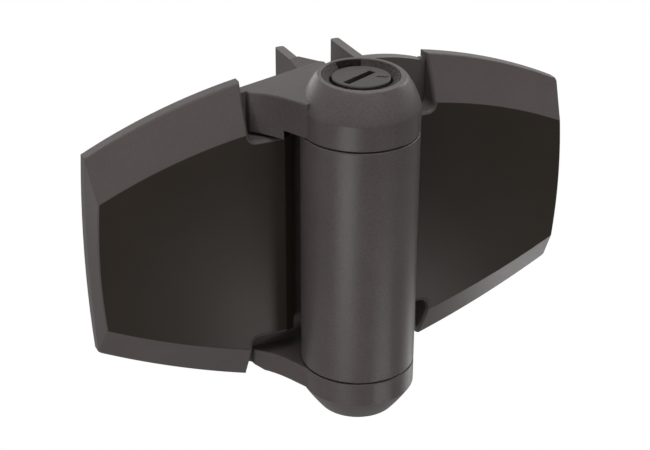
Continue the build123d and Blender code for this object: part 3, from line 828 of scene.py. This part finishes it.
@dataclass
class StippledCollar:
    """Fixed collar whose coarse funnel leads down to the dial, with a window at its back.

    The top follows the lip of the knuckle, which falls to the front. Columns and the counts
    of steps say how fine the mesh is. Slope is the funnel's length over its width, window_edge
    the share of the way in that the window's wall takes, and pit_blur the blur over a pit.
    """

    wardrobe: Wardrobe
    outer_r: float = 13.0
    inner_r: float = 10.3
    ledge_r: float = 8.3
    low_z: float = 52.05
    ledge_z: float = 58.05
    funnel_z: float = 61.3
    back_z: float = 63.4
    back_y: float = 13.9
    fall: float = 0.043
    edge: float = 0.25
    window_deg: tuple[float, float] = (65.0, 107.0)
    window_z: float = 60.4
    window_r: float = 12.7
    window_edge: float = 0.12
    columns: int = 720
    window_columns: int = 90
    rim_steps: int = 5
    steps: int = 34
    drop_steps: int = 4
    fade_steps: int = 3
    slope: float = 1.3
    pit_mm: float = 0.8
    pit_blur: float = 1.6
    pit_deep: float = 0.072
    seed: int = 5

    def stipple(self, rows: int) -> np.ndarray:
        """Work out the funnel's rough skin.

        White noise on the grid is blurred by a bell curve as wide as a pit, both round the
        funnel and down it, then scaled so that its usual height is the pits' depth. The real
        pits are about 0.4 mm and are drawn twice as wide, to show in the picture.

        Args:
            rows: Angles round the funnel.

        Returns:
            A height for each angle and each step down the funnel, in millimetres.
        """
        noise = np.random.default_rng(self.seed).standard_normal((rows, self.steps))
        length = (self.outer_r - self.inner_r) * self.slope
        pitch = (2 * math.pi * self.outer_r / rows, length / self.steps)
        waves = [np.fft.fftfreq(n, d) for n, d in zip(noise.shape, pitch)]
        wave = np.hypot(*np.meshgrid(*waves, indexing="ij"))
        bell = np.exp(-0.5 * (wave * self.pit_mm * self.pit_blur) ** 2)
        soft = np.fft.ifft2(np.fft.fft2(noise) * bell).real
        step = np.arange(self.steps)
        fade = np.clip(np.minimum(step, step[::-1]) / self.fade_steps, 0, 1)
        return soft / soft.std() * self.pit_deep * fade

    def funnel(self, top: np.ndarray, in_window: np.ndarray) -> tuple[np.ndarray, np.ndarray]:
        """Work out the line from the rim down to the dial's edge at every angle.

        Outside the window it falls in a straight line with the stipple laid on it. In the
        window it drops to the window's floor within a few steps and runs level from there.

        Args:
            top: Height of the sloping top at each angle.
            in_window: Whether each angle is in the window.

        Returns:
            The radii and the heights, one row for each angle.
        """
        part = np.linspace(0, 1, self.steps)
        start_r, end_r = self.outer_r - self.edge, self.inner_r + self.edge
        line_r = start_r + (end_r - start_r) * part
        line_z = top[:, None] + (self.funnel_z - top[:, None]) * part + self.stipple(len(top))
        level = np.clip((part - self.window_edge) / (1 - self.window_edge), 0, 1)
        floor_r = self.window_r + (end_r - self.window_r) * level
        drop = np.clip(part * self.steps / self.drop_steps, 0, 1)
        floor_z = top[:, None] + (self.window_z - top[:, None]) * drop
        inside = in_window[:, None]
        return np.where(inside, floor_r, line_r), np.where(inside, floor_z, line_z)

    def build(self) -> bpy.types.Object:
        """Carry the collar's half profile round the axis.

        At each angle the profile goes up the outside to the rim at the sloping top, rounds it
        by a quarter circle, follows the funnel to the dial's edge, goes down to the ledge
        under the dial and down its bore. The window's two edge angles are taken twice, once
        with the funnel and once with the window's floor, which makes the window's walls.

        Returns:
            The finished piece.
        """
        first, last = self.window_deg
        outside = np.linspace(last, first + 360, self.columns)
        window = np.linspace(first, last, self.window_columns)
        angle = np.radians(np.concatenate([outside, window]))
        in_window = np.arange(len(angle)) >= len(outside)
        ones = np.ones(len(angle))
        top = self.back_z - self.fall * (self.back_y - self.outer_r * np.sin(angle))
        turn = np.linspace(0, math.pi / 2, self.rim_steps)
        rim_r = (self.outer_r - self.edge + self.edge * np.cos(turn)) * ones[:, None]
        rim_z = top[:, None] - self.edge + self.edge * np.sin(turn)
        funnel_r, funnel_z = self.funnel(top, in_window)
        lip_z = np.where(in_window, self.window_z, self.funnel_z)
        radii = [self.outer_r * ones[:, None], rim_r, funnel_r]
        levels = [self.low_z * ones[:, None], rim_z, funnel_z]
        for r, z in (
            (self.inner_r * ones, lip_z - self.edge),
            (self.inner_r * ones, self.ledge_z * ones),
            (self.ledge_r * ones, self.ledge_z * ones),
            (self.ledge_r * ones, self.low_z * ones),
        ):
            radii.append(r[:, None])
            levels.append(z[:, None])
        r, z = np.concatenate(radii, axis=1), np.concatenate(levels, axis=1)
        around = np.broadcast_to(angle[:, None], r.shape)
        points = np.stack([r * np.cos(around), r * np.sin(around), z], axis=-1).reshape(-1, 3)
        piece = make_piece("stippled_collar", points, grid_faces(*r.shape), "post_leaf")
        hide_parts("adjuster_collar")
        self.wardrobe.dress(piece, Slot.COLLAR)
        return piece


@dataclass
class DialArrow:
    """Raised arrow on the dial's face, which shows the way to wind the spring."""

    wardrobe: Wardrobe
    turn_deg: float = -24.6
    start: float = 5.0
    length: float = 3.9
    width: float = 0.45
    head: float = 1.5
    tip_width: float = 0.05
    floor_z: float = 62.15
    top_z: float = 62.42
    ease: float = 0.07
    ease_steps: int = 2
    sharp_deg: float = 25.0

    def build(self) -> bpy.types.Object:
        """Lay the arrow's outline twice, one above the other, as a ring of four-sided walls.

        The outline runs there and back on either side of its middle line, so each pair of
        points across it closes one face of the top.

        Returns:
            The finished piece.
        """
        neck, tip = self.start + self.length - self.head, self.start + self.length
        along = np.array([self.start, neck, neck, tip])
        half = np.array([self.width, self.width, self.head, self.tip_width]) / 2
        across = np.stack([half, -half], axis=1)
        places = np.stack([np.broadcast_to(along[:, None], across.shape), across], axis=-1)
        sine, cosine = math.sin(math.radians(self.turn_deg)), math.cos(math.radians(self.turn_deg))
        turned = places @ np.array([[cosine, sine], [-sine, cosine]])
        layers = [np.dstack([turned, np.full(across.shape, z)]) for z in (self.floor_z, self.top_z)]
        ring = np.concatenate([layers[0], layers[1][:, ::-1]], axis=1)
        points = ring.reshape(-1, 3)
        number = np.arange(len(points)).reshape(len(along), 4)
        after = np.roll(number, -1, 1)
        walls = np.stack([number[:-1], after[:-1], after[1:], number[1:]], axis=-1).reshape(-1, 4)
        faces = np.concatenate([walls, number[:1, ::-1], number[-1:]])
        piece = make_piece("dial_arrow", points, faces, "adjuster", self.sharp_deg)
        bevel = piece.modifiers.new("eased_edges", "BEVEL")
        bevel.width, bevel.segments = self.ease * MM, self.ease_steps
        self.wardrobe.dress(piece, Slot.DIAL)
        return piece


def dress_nodes(frame: dict, wardrobe: Wardrobe) -> None:
    """Give every carried-over CAD node the finish of its slot.

    Args:
        wardrobe: The made finishes.
    """
    for row in frame["record"]["subparts"]:
        node = frame["nodes"][row["node"]]
        wardrobe.dress(node, Slot(row["material_slot"]))
        log.info("dressed %s in %s", row["node"], row["material_slot"])


def main() -> None:
    """Build the stage and the hinge."""
    logging.basicConfig(level=logging.INFO, format="%(message)s")
    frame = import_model()
    bpy.context.scene.view_settings.view_transform = "Standard"
    Stage().build()
    wardrobe = Wardrobe()
    dress_nodes(frame, wardrobe)
    StippledCollar(wardrobe).build()
    DialArrow(wardrobe).build()


if __name__ == "__main__":
    main()
